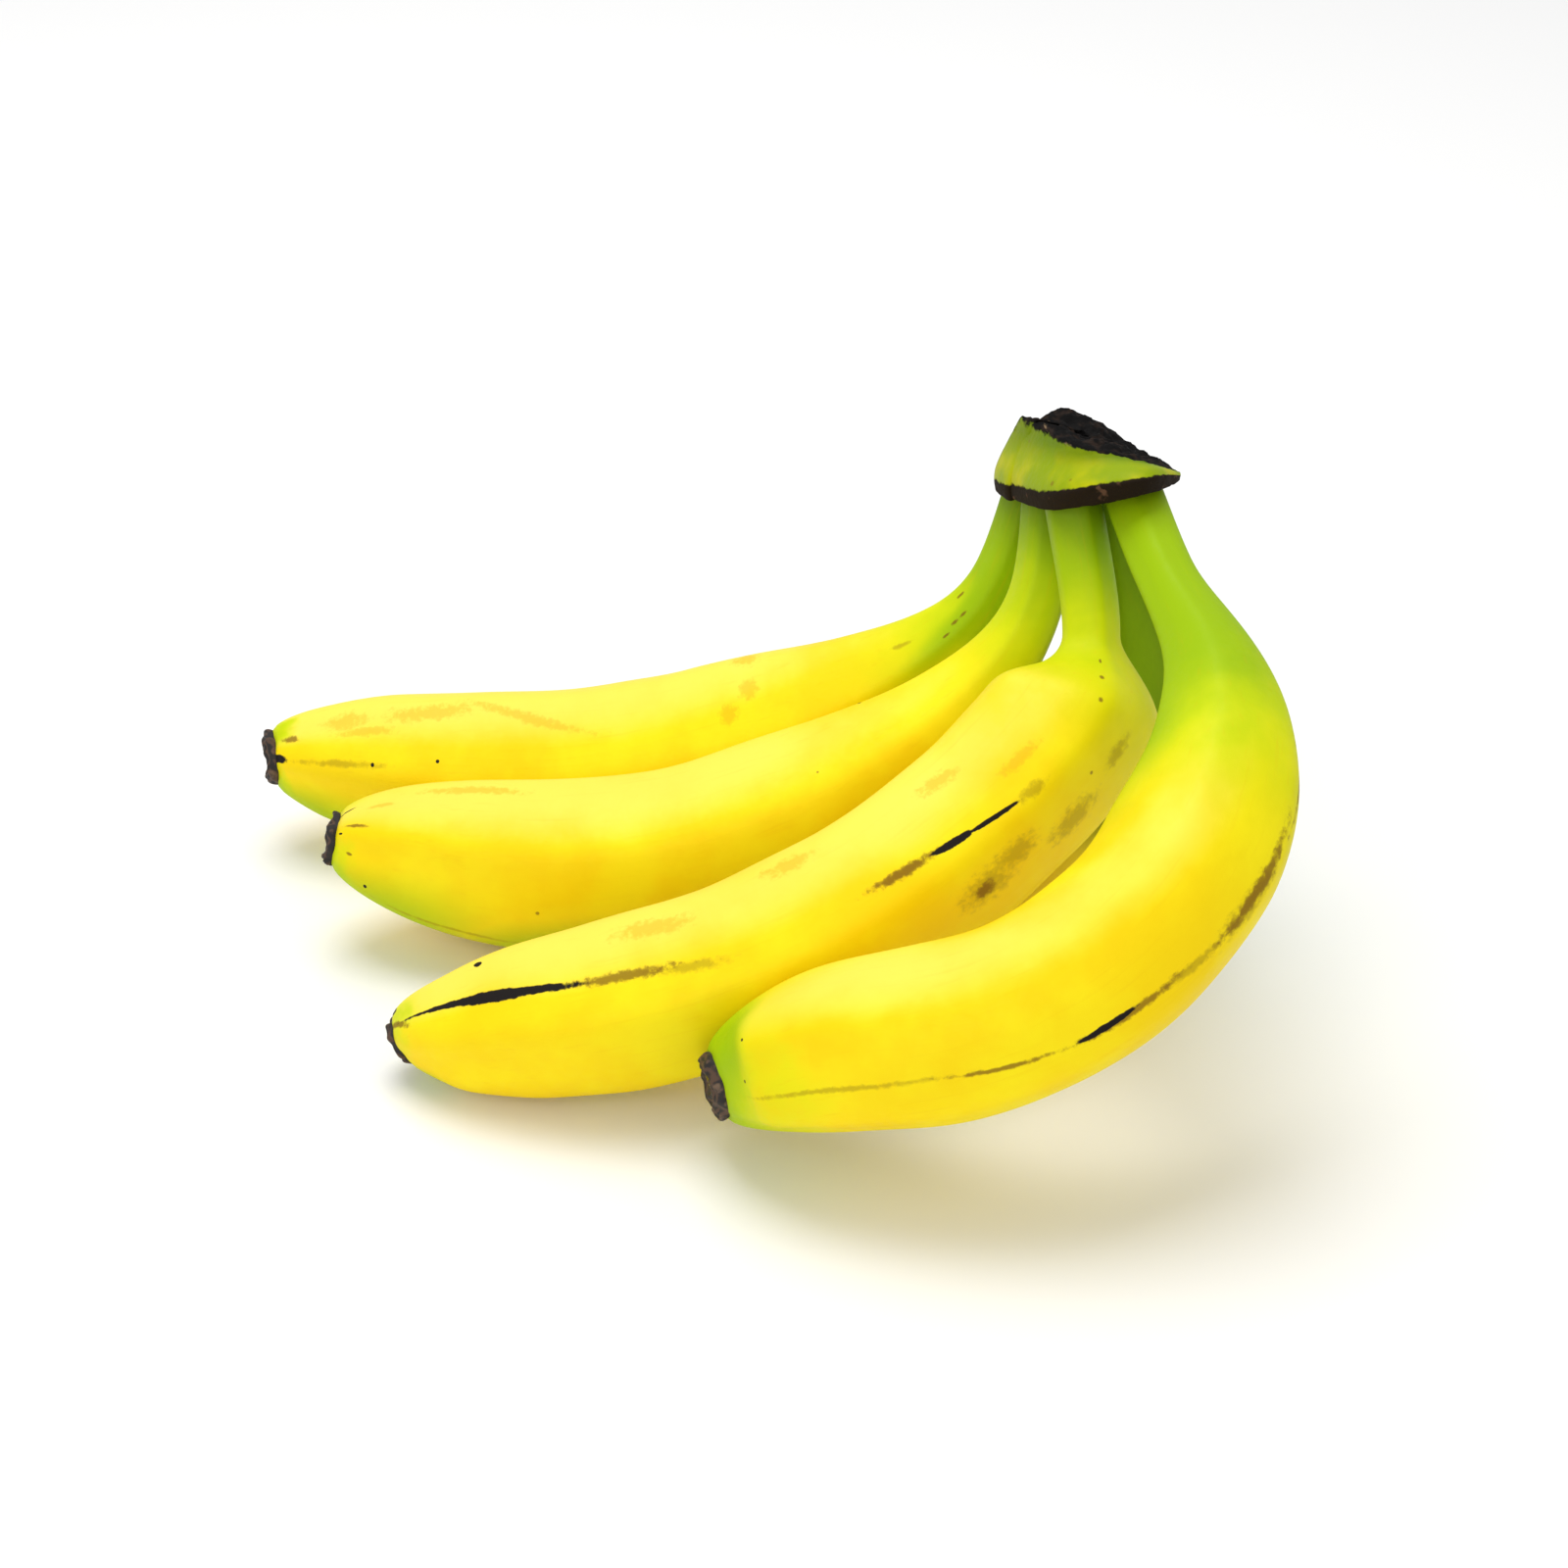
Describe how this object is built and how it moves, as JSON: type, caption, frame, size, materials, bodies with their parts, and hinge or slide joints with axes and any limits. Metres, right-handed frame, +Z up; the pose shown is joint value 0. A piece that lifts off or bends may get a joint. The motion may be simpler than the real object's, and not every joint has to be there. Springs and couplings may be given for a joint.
{
  "type": "bunch of bananas",
  "caption": "Bunch of ripe bananas lying on a table, curved fingers joined at one cut crown.",
  "frame": {"origin": "on the table under the middle of the bunch's footprint", "axes": "+X from the fingers' tips towards the crown, +Y to the back row, +Z up from the table"},
  "size_m": [0.2154, 0.1646, 0.1119],
  "materials": {
    "skin": "satin",
    "stem": "satin",
    "dried_flower": "matte"
  },
  "bodies": {
    "root": {"crown": "stem", "finger_1": "skin", "finger_2": "skin", "finger_3": "skin", "finger_4": "skin", "finger_5": "skin", "blossom_end_1": "dried_flower", "blossom_end_2": "dried_flower", "blossom_end_3": "dried_flower", "blossom_end_4": "dried_flower", "blossom_end_5": "dried_flower"}
  },
  "joints": []
}
